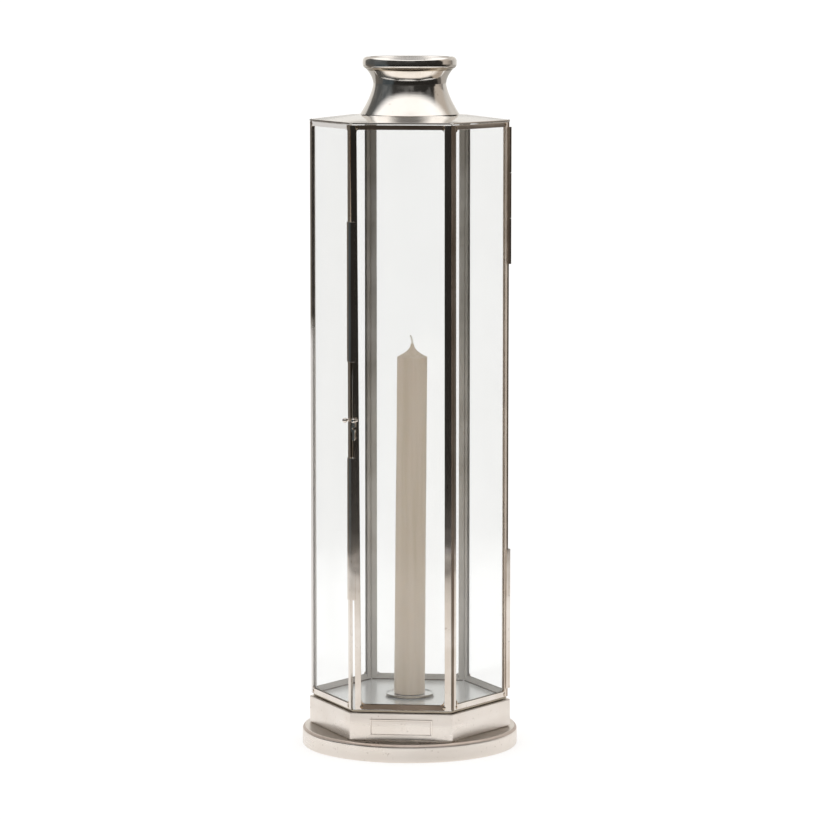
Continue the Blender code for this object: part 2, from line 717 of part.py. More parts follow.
def make_latch():
    """The hook turns on the door's pivot stud and drops over the neck of the fixed side's ball stud."""
    pivot_seat = LATCH_CORNER + DOOR_ALONG * PIVOT_ALONG + UP * LATCH_Z
    stud_seat = LATCH_CORNER + FIXED_ALONG * STUD_ALONG + UP * LATCH_Z
    spacer = HOOK_INNER - GAP
    head_low = HOOK_INNER + HOOK_T + GAP
    profile = [
        (0, head_low + PIVOT_HEAD_H),
        (PIVOT_HEAD_EDGE_R, head_low + PIVOT_HEAD_H),
        (PIVOT_HEAD_R, head_low + PIVOT_HEAD_H / 3),
        (PIVOT_HEAD_R, head_low),
        (LATCH_PIN_R, head_low),
        (LATCH_PIN_R, spacer),
        (PIVOT_SHOULDER_R, spacer),
        (PIVOT_SHOULDER_R, -STUD_ROOT),
        (0, -STUD_ROOT),
    ]
    make_stud("latch_pivot", profile, pivot_seat, DOOR_OUT)

    ball_neck = math.asin(LATCH_PIN_R / CATCH_BALL_R)
    ball_centre = head_low + CATCH_BALL_R * math.cos(ball_neck)
    profile = [(0, ball_centre + CATCH_BALL_R)]
    profile += arc((0, ball_centre), CATCH_BALL_R, 90, math.degrees(ball_neck) - 90, 8)[1:]
    profile += [(LATCH_PIN_R, spacer), (CATCH_FOOT_R, spacer - CATCH_CONE_H)]
    profile += [(CATCH_FOOT_R, -STUD_ROOT), (0, -STUD_ROOT)]
    make_stud("catch_stud", profile, stud_seat, FIXED_OUT)

    reach = (pivot_seat - stud_seat).dot(SIDEWAYS)
    outlines = [hook_outline(reach), circle(HOOK_HOLE_R, SEGMENTS_SMALL)]
    hang = frame_matrix(-UP, SIDEWAYS, OUTWARD, (0, 0, 0))
    hook = extruded("latch_hook", outlines, HOOK_T, NICKEL, hang)
    in_plane = pivot_seat - OUTWARD * (pivot_seat - LATCH_CORNER).dot(OUTWARD)
    hook.location = in_plane + OUTWARD * (HOOK_INNER + HOOK_T / 2)


def hang_on(pivot_name, location, names):
    """Parents the pieces of one moving body to an empty on its joint's axis."""
    pivot = bpy.data.objects.new(pivot_name, None)
    pivot.empty_display_size = 0.01
    pivot.location = location
    PARTS.objects.link(pivot)
    for name in names:
        piece = bpy.data.objects[name]
        piece.parent = pivot
        piece.matrix_parent_inverse = Matrix.Translation(-Vector(location))


def hang_moving_bodies():
    door = [f"{level}_{piece}" for level in HINGE_SPANS for piece in ("hinge_door_leaf", "stop_strip")]
    for panel in DOOR_PANELS:
        door += [f"{panel}_{piece}" for piece in ("stile_a", "stile_b", "rail_bottom", "rail_top", "pane")]
    hang_on("door_axis", (BARREL_X, 0, 0), door + ["latch_pivot", "latch_hook"])
    hang_on("candle_axis", (0, 0, CANDLE_BOTTOM_Z), ["candle", "wick"])


def make_lantern():
    make_foot()
    make_base_box()
    make_floor_plate()
    make_nameplate()
    make_drip_tray()
    make_spike()
    make_spike_fasteners()
    make_candle()
    make_wick()
    make_cage()
    make_roof()
    make_neck()
    make_hinges()
    make_stop_strips()
    make_latch()
    hang_moving_bodies()


clear_scene()
PARTS = new_collection("candle_lantern")
CUTTERS = new_collection("cutters")
NICKEL = new_material("polished_nickel", (0.78, 0.74, 0.69), 0.12, metallic=1.0)
MIRROR = new_material("polished_floor", (0.80, 0.78, 0.76), 0.05, metallic=1.0)
STEEL = new_material("plain_steel", (0.55, 0.55, 0.55), 0.35, metallic=1.0)
GLASS = new_material("clear_glass", (0.93, 0.95, 0.95), 0.02, transmission=1.0)
WAX = new_material("greige_wax", (0.60, 0.54, 0.44), 0.45)
COTTON = new_material("waxed_cotton", (0.80, 0.76, 0.68), 0.8)
make_lantern()
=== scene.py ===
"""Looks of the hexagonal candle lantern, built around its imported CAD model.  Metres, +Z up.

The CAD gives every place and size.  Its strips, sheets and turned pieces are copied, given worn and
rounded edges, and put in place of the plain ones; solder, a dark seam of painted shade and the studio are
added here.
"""
import json
import math

import bmesh
import bpy
from mathutils import Matrix, Vector, noise


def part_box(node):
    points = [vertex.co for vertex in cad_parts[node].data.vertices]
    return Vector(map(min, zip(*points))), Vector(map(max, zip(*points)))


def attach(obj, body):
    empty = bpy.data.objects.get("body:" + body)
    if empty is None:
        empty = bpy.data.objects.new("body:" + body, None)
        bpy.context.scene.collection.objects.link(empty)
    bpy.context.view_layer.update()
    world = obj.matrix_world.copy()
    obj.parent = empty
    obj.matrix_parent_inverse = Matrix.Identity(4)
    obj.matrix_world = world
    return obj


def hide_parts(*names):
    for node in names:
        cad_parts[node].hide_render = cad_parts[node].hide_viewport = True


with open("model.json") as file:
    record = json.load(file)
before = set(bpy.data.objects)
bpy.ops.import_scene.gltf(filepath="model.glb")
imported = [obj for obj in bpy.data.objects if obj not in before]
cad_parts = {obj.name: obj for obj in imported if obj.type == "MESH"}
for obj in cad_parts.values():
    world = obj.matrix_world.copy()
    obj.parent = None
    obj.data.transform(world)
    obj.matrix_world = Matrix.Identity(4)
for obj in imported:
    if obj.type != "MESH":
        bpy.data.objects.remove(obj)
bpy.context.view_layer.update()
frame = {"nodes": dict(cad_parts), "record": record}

BODY_OF = {n: body for body, names in frame["record"]["behaviour"]["bodies"].items() for n in names}
SLOT_OF = {row["node"]: row["material_slot"] for row in frame["record"]["subparts"]}
UP = Vector((0, 0, 1))

# Places that follow from the frame
FOOT_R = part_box("foot")[1].x
FLOOR_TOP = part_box("floor_plate")[1].z


# --- camera and studio ------------------------------------------------------------------------------

CAMERA_DISTANCE = 2.6894
CAMERA_HEIGHT = 0.54675
CAMERA_TURN = math.radians(5.60)
CAMERA_TILT = math.radians(6.600)
CAMERA_LENS = 170.07
CAMERA_ASIDE = 0.0002
SENSOR_W = 36
CLIP_END = 200

FLOOR_SIZE = 60.0
FLOOR_GREY, FLOOR_GLOW = 0.35, 0.70
METAL_FLOOR_GREY, METAL_FLOOR_GLOW = 0.30, 0.62  # the floor as the metal reflects it
METAL_FLOOR_Z = 0.0001
PAPER_SHADE = 0.97
SURROUND_R = 0.75
SURROUND_H = 1.5
BOARD_SIZE = 2.2 * SURROUND_R
WORLD_LIGHT = 1.07
LAMP_SIZE = 2.2
LAMP_W = 5.0
LAMP_PLACE = (-0.5, -0.6, 2.6)
LAMP_AIM = Vector((0, 0, 0.25))


def make_camera():
    data = bpy.data.cameras.new("camera")
    data.lens = CAMERA_LENS
    data.sensor_width = SENSOR_W
    data.clip_end = CLIP_END
    camera = bpy.data.objects.new("camera", data)
    back = Vector((math.sin(CAMERA_TURN), -math.cos(CAMERA_TURN), 0))
    side = Vector((math.cos(CAMERA_TURN), math.sin(CAMERA_TURN), 0))
    camera.location = back * CAMERA_DISTANCE + side * CAMERA_ASIDE + UP * CAMERA_HEIGHT
    camera.rotation_euler = (math.radians(90) - CAMERA_TILT, 0, CAMERA_TURN)
    bpy.context.scene.collection.objects.link(camera)
    bpy.context.scene.camera = camera


def only_reflected(piece):
    """The piece is seen in reflections alone, as a studio's flags and white boards are."""
    piece.visible_camera = False
    piece.visible_diffuse = False
    piece.visible_transmission = False
    piece.visible_shadow = False
    piece.visible_volume_scatter = False


class Shader:
    """Adds nodes to one new material and links them."""

    def __init__(self, name):
        self.material = bpy.data.materials.new(name)
        self.material.use_nodes = True
        self.tree = self.material.node_tree
        self.tree.nodes.clear()
        self.output = self.add("ShaderNodeOutputMaterial")
        self.place = None

    def add(self, kind, **settings):
        node = self.tree.nodes.new(kind)
        for key, value in settings.items():
            setattr(node, key, value)
        return node

    def link(self, source, target):
        self.tree.links.new(source, target)

    def feed(self, value, socket):
        """A socket's value: another node's output, or a constant."""
        if isinstance(value, bpy.types.NodeSocket):
            self.link(value, socket)
        elif isinstance(value, tuple) and len(value) == 3 and socket.type == "RGBA":
            socket.default_value = (*value, 1.0)
        else:
            socket.default_value = value

    def coordinates(self, stretch=(1, 1, 1)):
        if self.place is None:
            self.place = self.add("ShaderNodeTexCoord").outputs["Object"]
        if stretch == (1, 1, 1):
            return self.place
        mapping = self.add("ShaderNodeMapping")
        self.link(self.place, mapping.inputs["Vector"])
        mapping.inputs["Scale"].default_value = stretch
        return mapping.outputs["Vector"]

    def cloud(self, scale, detail=3.0, stretch=(1, 1, 1), distortion=0.0):
        texture = self.add("ShaderNodeTexNoise")
        self.link(self.coordinates(stretch), texture.inputs["Vector"])
        texture.inputs["Scale"].default_value = scale
        texture.inputs["Detail"].default_value = detail
        texture.inputs["Distortion"].default_value = distortion
        return texture.outputs["Fac"]

    def span(self, value, low, high, out_low=0.0, out_high=1.0):
        node = self.add("ShaderNodeMapRange", clamp=True)
        self.link(value, node.inputs["Value"])
        node.inputs["From Min"].default_value = low
        node.inputs["From Max"].default_value = high
        node.inputs["To Min"].default_value = out_low
        node.inputs["To Max"].default_value = out_high
        return node.outputs["Result"]

    def math(self, operation, a, b):
        node = self.add("ShaderNodeMath", operation=operation)
        self.feed(a, node.inputs[0])
        self.feed(b, node.inputs[1])
        return node.outputs["Value"]

    def blend(self, amount, first, second):
        node = self.add("ShaderNodeMix", data_type="RGBA")
        self.feed(amount, node.inputs["Factor"])
        self.feed(first, node.inputs["A"])
        self.feed(second, node.inputs["B"])
        return node.outputs["Result"]

    def tint(self, colour, light):
        """Adds a grey light to a colour."""
        node = self.add("ShaderNodeVectorMath", operation="ADD")
        self.feed(colour, node.inputs[0])
        self.feed(light, node.inputs[1])
        return node.outputs["Vector"]

    def bump(self, height, strength, distance, below=None):
        node = self.add("ShaderNodeBump")
        node.inputs["Strength"].default_value = strength
        node.inputs["Distance"].default_value = distance
        self.link(height, node.inputs["Height"])
        if below is not None:
            self.link(below, node.inputs["Normal"])
        return node.outputs["Normal"]

    def height_above(self, level):
        parts = self.add("ShaderNodeSeparateXYZ")
        self.link(self.coordinates(), parts.inputs["Vector"])
        return self.math("SUBTRACT", parts.outputs["Z"], level)

    def principled(self, **inputs):
        shader = self.add("ShaderNodeBsdfPrincipled")
        for name, value in inputs.items():
            self.feed(value, shader.inputs[name.replace("_", " ")])
        self.link(shader.outputs["BSDF"], self.output.inputs["Surface"])
        return self.material


def stage_plane(name, size, height, grey, glow):
    """A plain sheet lit partly from below, like a light table, so that shadows on it stay faint."""
    mesh = bpy.data.meshes.new(name)
    work = bmesh.new()
    bmesh.ops.create_grid(work, x_segments=1, y_segments=1, size=size / 2)
    work.to_mesh(mesh)
    work.free()
    plane = bpy.data.objects.new(name, mesh)
    plane.location.z = height
    bpy.context.scene.collection.objects.link(plane)
    shader = Shader(name)
    shade = PAPER_SHADE * grey
    paper = shader.blend(shader.cloud(3.0), (grey, grey, grey), (shade, shade, shade))
    sheet = shader.principled(
        Base_Color=paper,
        Roughness=0.9,
        Specular_IOR_Level=0.0,
        Emission_Color=(1.0, 0.985, 0.97),
        Emission_Strength=glow,
    )
    mesh.materials.append(sheet)
    return plane


def wall_round(shader, stops):
    """A colour that changes round the lantern, from rows of degrees from +X, brightness, blueness."""
    gradient = shader.add("ShaderNodeTexGradient", gradient_type="RADIAL")
    shader.link(shader.coordinates(), gradient.inputs["Vector"])
    ramp = shader.add("ShaderNodeValToRGB")
    ramp.color_ramp.interpolation = "EASE"
    shader.link(gradient.outputs["Fac"], ramp.inputs["Fac"])
    points = ramp.color_ramp.elements
    while len(points) > 1:
        points.remove(points[-1])
    for k, (azimuth, level, blue) in enumerate(stops):
        position = azimuth / 360 + 0.5
        stop = points[0] if k == 0 else points.new(position)
        stop.position = position
        stop.color = (level * (1 - 0.3 * blue), level * (0.9 + 0.1 * blue), level * (0.8 + 0.4 * blue), 1)
    return ramp.outputs["Color"]


LOW_WALL = [
    (-180, 0.090, 0.6),
    (-158, 0.070, 0.7),
    (-144, 0.080, 0.7),
    (-132, 0.020, 0.1),
    (-20, 0.017, 0.0),
    (12, 0.022, 0.0),
    (19, 0.120, 0.0),
    (30, 0.130, 0.0),
    (38, 0.450, 0.1),
    (75, 0.480, 0.2),
    (88, 0.800, 0.2),
    (108, 0.800, 0.2),
    (122, 0.600, 0.2),
    (138, 0.560, 0.2),
    (142, 0.150, 0.0),
    (172, 0.110, 0.2),
]
HIGH_WALL = [
    (-180, 0.110, 0.5),
    (-150, 0.100, 0.5),
    (-136, 0.045, 0.2),
    (-20, 0.026, 0.1),
    (1, 0.030, 0.0),
    (6, 0.520, 0.0),
    (14, 0.480, 0.0),
    (30, 0.320, 0.0),
    (41, 0.230, 0.1),
    (46, 0.620, 0.2),
    (70, 0.740, 0.2),
    (88, 0.900, 0.2),
    (110, 0.900, 0.2),
    (136, 0.720, 0.2),
    (141, 0.130, 0.2),
    (170, 0.100, 0.4),
]
TOP_WALL = [
    (-180, 0.110, 0.5),
    (-150, 0.100, 0.5),
    (-136, 0.045, 0.2),
    (-20, 0.026, 0.1),
    (-3, 0.030, 0.0),
    (3, 0.520, 0.0),
    (30, 0.520, 0.0),
    (46, 0.620, 0.2),
    (82, 0.700, 0.1),
    (88, 0.300, 0.0),
    (103, 0.300, 0.0),
    (109, 0.700, 0.1),
    (136, 0.700, 0.2),
    (141, 0.130, 0.2),
    (170, 0.100, 0.4),
]
ROOM_MIDDLE = (0.405, 0.425)  # heights over which the low wall gives way to the high one
ROOM_UPPER = (0.615, 0.645)
ROOM_CEILING = (0.93, 1.12)
ROOM_SKIRTING = (0.020, 0.030)  # below this the wall is as bright as the paper on the floor
SKIRTING_WHITE = (0.74, 0.73, 0.72)
LAMP_WHITE = 1.3
CLUTTER_HEIGHTS = (0.48, 0.80)
CLUTTER_LIGHT = 0.14
CEILING_LAMPS = (0.36, 0.62)  # distance from the lantern's axis at which the ceiling turns bright
CEILING_MIDDLE = 0.22


def surround_material():
    """Round the lantern: a dark room in front of it, white boards to its sides and behind it."""
    shader = Shader("surround")
    height = shader.height_above(0.0)
    low = wall_round(shader, LOW_WALL)
    high = wall_round(shader, HIGH_WALL)
    wall = shader.blend(shader.span(height, *ROOM_MIDDLE), low, high)
    wall = shader.blend(shader.span(height, *ROOM_UPPER), wall, wall_round(shader, TOP_WALL))
    wall = shader.blend(shader.span(height, *ROOM_SKIRTING), SKIRTING_WHITE, wall)
    clutter = shader.span(shader.cloud(2.2, 2.0), 0.48, 0.66)
    clutter = shader.math("MULTIPLY", clutter, shader.span(height, *CLUTTER_HEIGHTS, 0.0, CLUTTER_LIGHT))
    lamps = (LAMP_WHITE, LAMP_WHITE, LAMP_WHITE)
    colour = shader.blend(shader.span(height, *ROOM_CEILING), shader.tint(wall, clutter), lamps)
    glow = shader.add("ShaderNodeEmission")
    shader.link(colour, glow.inputs["Color"])
    shader.link(glow.outputs["Emission"], shader.output.inputs["Surface"])
    return shader.material


def ceiling_material():
    """Dark straight above the lantern, bright where the lamps hang round it."""
    shader = Shader("ceiling")
    separate = shader.add("ShaderNodeSeparateXYZ")
    shader.link(shader.coordinates(), separate.inputs["Vector"])
    squares = [shader.math("POWER", separate.outputs[axis], 2.0) for axis in ("X", "Y")]
    reach = shader.math("SQRT", shader.math("ADD", *squares), 0.0)
    level = shader.span(reach, *CEILING_LAMPS, CEILING_MIDDLE, LAMP_WHITE)
    glow = shader.add("ShaderNodeEmission")
    shader.link(level, glow.inputs["Strength"])
    shader.link(glow.outputs["Emission"], shader.output.inputs["Surface"])
    return shader.material


def make_studio():
    scene = bpy.context.scene
    scene.view_settings.view_transform = "Standard"
    world = bpy.data.worlds.new("studio")
    world.use_nodes = True
    background = world.node_tree.nodes["Background"]
    background.inputs["Color"].default_value = (1.0, 1.0, 1.0, 1.0)
    background.inputs["Strength"].default_value = WORLD_LIGHT
    scene.world = world

    stage_plane("floor", FLOOR_SIZE, 0.0, FLOOR_GREY, FLOOR_GLOW)
    metal_floor = ("floor_seen_in_metal", BOARD_SIZE, METAL_FLOOR_Z, METAL_FLOOR_GREY, METAL_FLOOR_GLOW)
    only_reflected(stage_plane(*metal_floor))

    mesh = bpy.data.meshes.new("surround")
    work = bmesh.new()
    bmesh.ops.create_cone(
        work, cap_ends=False, segments=96, radius1=SURROUND_R, radius2=SURROUND_R, depth=SURROUND_H
    )
    work.to_mesh(mesh)
    work.free()
    mesh.shade_smooth()
    mesh.transform(Matrix.Translation((0, 0, SURROUND_H / 2)))
    surround = bpy.data.objects.new("surround", mesh)
    scene.collection.objects.link(surround)
    mesh.materials.append(surround_material())
    only_reflected(surround)
    ceiling = stage_plane("ceiling", BOARD_SIZE, SURROUND_H, 0.0, 0.0)
    ceiling.data.materials[0] = ceiling_material()
    only_reflected(ceiling)

    data = bpy.data.lights.new("overhead_light", "AREA")
    data.shape = "SQUARE"
    data.size = LAMP_SIZE
    data.energy = LAMP_W
    light = bpy.data.objects.new("overhead_light", data)
    light.location = LAMP_PLACE
    light.rotation_euler = (LAMP_AIM - light.location).to_track_quat("-Z", "Y").to_euler()
    light.visible_glossy = False
    scene.collection.objects.link(light)


# --- materials --------------------------------------------------------------------------------------

STAIN_BROWN = (0.30, 0.22, 0.15)
# Painted light: the paler grey, extra roughness and lower metalness laid on some strips below a height
PALE_GREY = (0.74, 0.71, 0.68)
PALE_ROUGHER = 0.35
PALE_METAL = 0.25


def nickel(
    name,
    light,
    dark,
    rough,
    wave=0.35,
    stain=0.35,
    grain=(1, 1, 1),
    metal=1.0,
    patchy=1.0,
    paler_below=None,
    pale_fade=0.010,
    pale_cover=1.0,
):
    """Hand-polished nickel plate: soft waves, fine scratches, patches of tarnish.

    Below a given height it is paler, rougher and less metallic, which is painted light.  This fades out over
    a given distance on each side of that height and covers the nickel by a given share at most.
    """
    shader = Shader(name)
    patches = shader.span(shader.cloud(30.0, 4.0, distortion=0.4), 0.36, 0.66)
    colour = shader.blend(patches, dark, light)
    spots = shader.span(shader.cloud(420.0, 2.0), 0.66, 0.76, 0.0, stain)
    colour = shader.blend(spots, colour, STAIN_BROWN)
    haze = shader.cloud(65.0, 5.0, stretch=grain)
    scratches = shader.cloud(900.0, 2.0, stretch=grain)
    roughness = shader.span(haze, 0.35, 0.70, rough * (1 - 0.3 * patchy), rough * (1 + 0.5 * patchy))
    broad = shader.bump(shader.cloud(26.0, 2.0), wave, 0.0010)
    fine = shader.bump(scratches, 0.10, 0.00012, broad)
    # Painted light: below the given height the nickel turns paler, rougher and less metallic
    if paler_below is not None:
        paler_share = shader.span(shader.height_above(paler_below), -pale_fade, pale_fade, pale_cover, 0.0)
        colour = shader.blend(paler_share, colour, PALE_GREY)
        roughness = shader.math("ADD", roughness, shader.math("MULTIPLY", paler_share, PALE_ROUGHER))
        metal = shader.span(paler_share, 0.0, 1.0, metal, PALE_METAL)
    return shader.principled(Base_Color=colour, Metallic=metal, Roughness=roughness, Normal=fine)


def solder_metal(name, dark, light):
    shader = Shader(name)
    patches = shader.span(shader.cloud(700.0, 3.0), 0.40, 0.62)
    colour = shader.blend(patches, dark, light)
    roughness = shader.span(shader.cloud(400.0), 0.3, 0.7, 0.18, 0.42)
    pits = shader.bump(shader.cloud(1500.0, 3.0), 0.4, 0.0002)
    return shader.principled(Base_Color=colour, Metallic=1.0, Roughness=roughness, Normal=pits)


def plain_steel():
    shader = Shader("turned_steel")
    rings = shader.cloud(1200.0, 2.0, stretch=(0.05, 0.05, 1.0))
    colour = shader.blend(shader.span(rings, 0.3, 0.7), (0.42, 0.42, 0.42), (0.60, 0.59, 0.57))
    roughness = shader.span(shader.cloud(200.0), 0.3, 0.7, 0.25, 0.45)
    bump = shader.bump(rings, 0.3, 0.0001)
    return shader.principled(Base_Color=colour, Metallic=1.0, Roughness=roughness, Normal=bump)


GLASS_SHINE = (0.036, 0.45)  # share reflected face on and edge on


def window_glass(name, clearness):
    """Both faces of a pane reflect by their own angle; what isn't reflected passes straight through."""
    shader = Shader(name)
    facing = shader.add("ShaderNodeLayerWeight")
    facing.inputs["Blend"].default_value = 0.5
    grazing = shader.math("POWER", facing.outputs["Facing"], 5.0)
    share = shader.span(grazing, 0.0, 1.0, *GLASS_SHINE)
    clear = shader.add("ShaderNodeBsdfTransparent")
    thin = (clearness, clearness + 0.003, clearness + 0.002)
    thick = tuple(level - 0.006 for level in thin)
    tint = shader.blend(shader.span(shader.cloud(18.0), 0.3, 0.7), thick, thin)
    shader.link(tint, clear.inputs["Color"])
    gloss = shader.add("ShaderNodeBsdfAnisotropic")
    gloss.inputs["Color"].default_value = (1, 1, 1, 1)
    smudges = shader.span(shader.cloud(40.0, 5.0, distortion=1.2), 0.40, 0.72, 0.10, 0.22)
    shader.link(smudges, gloss.inputs["Roughness"])
    waves = shader.bump(shader.cloud(9.0, 1.0), 0.05, 0.002)
    shader.link(waves, gloss.inputs["Normal"])
    mix = shader.add("ShaderNodeMixShader")
    shader.link(share, mix.inputs["Fac"])
    shader.link(clear.outputs["BSDF"], mix.inputs[1])
    shader.link(gloss.outputs["BSDF"], mix.inputs[2])
    shader.link(mix.outputs["Shader"], shader.output.inputs["Surface"])
    return shader.material


def candle_wax():
    shader = Shader("candle_wax")
    streaks = shader.cloud(240.0, 3.0, stretch=(1.0, 1.0, 0.035))
    patches = shader.cloud(60.0, 3.0)
    colour = shader.blend(shader.span(streaks, 0.35, 0.65), (0.500, 0.420, 0.325), (0.560, 0.475, 0.385))
    colour = shader.blend(shader.span(patches, 0.45, 0.75, 0.0, 0.5), colour, (0.530, 0.430, 0.345))
    roughness = shader.span(patches, 0.3, 0.7, 0.38, 0.55)
    fine = shader.bump(shader.cloud(500.0, 3.0), 0.08, 0.0002)
    bump = shader.bump(streaks, 0.10, 0.0003, fine)
    return shader.principled(
        Base_Color=colour,
        Roughness=roughness,
        Normal=bump,
        Subsurface_Weight=0.25,
        Subsurface_Radius=(0.0030, 0.0022, 0.0014),
        Subsurface_Scale=1.0,
    )


def braided_cotton():
    shader = Shader("braided_cotton")
    threads = shader.cloud(2600.0, 3.0)
    colour = shader.blend(shader.span(threads, 0.3, 0.7), (0.62, 0.58, 0.52), (0.86, 0.84, 0.80))
    burnt = shader.span(shader.height_above(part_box("wick")[1].z), -0.0016, -0.0002)
    colour = shader.blend(burnt, colour, (0.55, 0.53, 0.50))
    bump = shader.bump(threads, 0.5, 0.0002)
    return shader.principled(Base_Color=colour, Roughness=0.85, Normal=bump)


BRUSHED = (0.12, 0.12, 1.0)  # stretches a texture along the horizontal
UPRIGHT = (1.0, 1.0, 0.05)
NICKEL = nickel("sheet_nickel", (0.93, 0.865, 0.80), (0.89, 0.815, 0.74), 0.32, wave=0.14, grain=BRUSHED)
SPUN_NICKEL = nickel("spun_nickel", (0.88, 0.84, 0.80), (0.82, 0.77, 0.71), 0.10, wave=0.3, grain=BRUSHED)
STRIP_NICKEL = nickel("strip_nickel", (0.86, 0.80, 0.74), (0.74, 0.66, 0.58), 0.12, grain=UPRIGHT)
# Painted light: strip nickel made paler below 0.292 m, for the lower part of the left post
PALER_BELOW_NICKEL = nickel(
    "nickel_painted_paler_below", (0.86, 0.81, 0.76), (0.78, 0.72, 0.66), 0.14, grain=UPRIGHT, paler_below=0.292
)
# Painted light: strip nickel made paler all over
PALE_PAINTED_NICKEL = nickel(
    "nickel_painted_pale_all_over", (0.86, 0.81, 0.76), (0.78, 0.72, 0.66), 0.14, grain=BRUSHED, paler_below=1.0
)
# Painted dark reflection on the front rails' outsides, and painted shade in the floor seam
PAINTED_DARK_NICKEL = nickel("nickel_painted_dark", (0.26, 0.20, 0.155), (0.15, 0.112, 0.082), 0.26, grain=BRUSHED, metal=0.85)
# Unpolished inner nickel; it turns paler towards the bottom, which is painted light
DULL_NICKEL = nickel(
    "unpolished_nickel",
    (0.66, 0.63, 0.58),
    (0.51, 0.48, 0.43),
    0.42,
    grain=UPRIGHT,
    metal=0.8,
    paler_below=0.15,
    pale_fade=0.11,
    pale_cover=0.45,
)
# Worn plating on the foot's rounded edge; in the nameplate's groove the same darker nickel is painted shade
EDGE_AND_GROOVE_NICKEL = nickel("rubbed_edge_and_groove_shade", (0.66, 0.56, 0.49), (0.52, 0.42, 0.35), 0.35, grain=BRUSHED, metal=0.5)
# Painted shade in the groove where the right panel meets the front one
CORNER_SHADE_NICKEL = nickel("nickel_painted_corner_shade", (0.30, 0.24, 0.19), (0.19, 0.14, 0.10), 0.26, grain=UPRIGHT, metal=0.8)
# Darker nickel: painted shade under the neck's rim and painted shadow on the floor plate's rim under the
# rails; also on the closing lip and on the drip tray's sides and underside
TARNISH_AND_SHADE_NICKEL = nickel("nickel_tarnish_and_painted_shade", (0.44, 0.38, 0.30), (0.30, 0.25, 0.19), 0.16, grain=BRUSHED)
FLOOR_NICKEL = nickel(
    "floor_nickel",
    (0.89, 0.905, 0.91),
    (0.86, 0.875, 0.88),
    0.24,
    wave=0.03,
    stain=0.1,
    metal=0.75,
    patchy=0.15,
)
# Painted light: a paler, less metallic copy of the strip nickel for one stile of the right panel
PALE_NICKEL = nickel("pale_nickel", (0.80, 0.70, 0.60), (0.66, 0.56, 0.47), 0.25, grain=UPRIGHT, metal=0.45)
# Painted shade: a darker copy of the strip nickel for the upper hinge and for the stile's edge beside the
# hinge barrel
BARREL_SHADE_NICKEL = nickel("nickel_painted_barrel_shade", (0.58, 0.49, 0.41), (0.42, 0.35, 0.29), 0.18, grain=UPRIGHT)
SOLDER = solder_metal("burnt_solder", (0.30, 0.20, 0.12), (0.66, 0.56, 0.45))
TIN = solder_metal("clean_solder", (0.60, 0.57, 0.53), (0.86, 0.83, 0.79))
STEEL = plain_steel()
GLASS = window_glass("window_glass", 0.994)  # the share of light that passes straight through
OLD_GLASS = window_glass("older_window_glass", 0.984)
WAX = candle_wax()
COTTON = braided_cotton()


# --- pieces made from the CAD's own solids --------------------------------------------------------------

EDGE_DEG = 25
WOBBLE_SCALE = 22.0
STRIP_EDGE = 0.00025
STRIP_SLICE = 0.009
STRIP_WOBBLE = 0.00006
SMOOTH_STEPS = 144
NOISE_SEED = 7
noise.seed_set(NOISE_SEED)  # noise_vector follows the clock otherwise, and each run would differ


def cad_solid(node):
    """The node's mesh with its split corners joined and its flat faces whole again."""
    work = bmesh.new()
    work.from_mesh(frame["nodes"][node].data)
    bmesh.ops.remove_doubles(work, verts=work.verts, dist=2e-6)
    bmesh.ops.dissolve_limit(
        work, angle_limit=math.radians(1.0), verts=work.verts, edges=work.edges, delimit=set()
    )
    return work


def round_edges(work, width, segments=2, edge_deg=EDGE_DEG):
    sharp = [
        edge for edge in work.edges if edge.is_manifold and edge.calc_face_angle() > math.radians(edge_deg)
    ]
    bmesh.ops.bevel(
        work, geom=sharp, offset=width, segments=segments, profile=0.5, affect="EDGES", clamp_overlap=True
    )


def slice_along(work, axis, step):
    """Cuts the mesh across an axis at even steps, so that it can bend a little between them."""
    places = [vertex.co.dot(axis) for vertex in work.verts]
    low = min(places)
    length = max(places) - low
    count = max(1, round(length / step))
    for k in range(1, count):
        geometry = work.verts[:] + work.edges[:] + work.faces[:]
        bmesh.ops.bisect_plane(work, geom=geometry, plane_co=axis * (low + length * k / count), plane_no=axis)


def wobble(work, amount, seed=0.0, scale=WOBBLE_SCALE):
    """Hand-made unevenness: moves each vertex by a slow noise, at most about the amount."""
    for vertex in work.verts:
        place = vertex.co * scale + Vector((seed, -seed, seed))
        vertex.co += noise.noise_vector(place) * amount


def paint(work, index, wanted):
    """Gives the faces that are wanted another of the piece's materials."""
    bmesh.ops.recalc_face_normals(work, faces=work.faces)
    for face in work.faces:
        if wanted(face):
            face.material_index = index


def add_piece(name, work, materials, body, smooth_deg=40):
    mesh = bpy.data.meshes.new(name)
    bmesh.ops.recalc_face_normals(work, faces=work.faces)
    work.to_mesh(mesh)
    work.free()
    for material in materials:
        mesh.materials.append(material)
    mesh.shade_smooth()
    mesh.set_sharp_from_angle(angle=math.radians(smooth_deg))
    piece = bpy.data.objects.new(name, mesh)
    bpy.context.scene.collection.objects.link(piece)
    flat = piece.modifiers.new("flat_faces_stay_flat", "WEIGHTED_NORMAL")
    flat.keep_sharp = True
    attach(piece, body)
    return piece


def stand_for(node, work, *materials, smooth_deg=40):
    piece = add_piece(node + "_worn", work, materials, BODY_OF[node], smooth_deg)
    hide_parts(node)
    return piece


PANELS = ["back_right", "back", "back_left", "left", "front", "right"]


def panel_axes(index):
    """Along the panel and out of it; panel i runs counterclockwise from corner i."""
    turn = math.radians(60 * index)
    along = Vector((math.cos(turn + math.radians(120)), math.sin(turn + math.radians(120)), 0))
    out = Vector((math.cos(turn + math.radians(30)), math.sin(turn + math.radians(30)), 0))
    return along, out


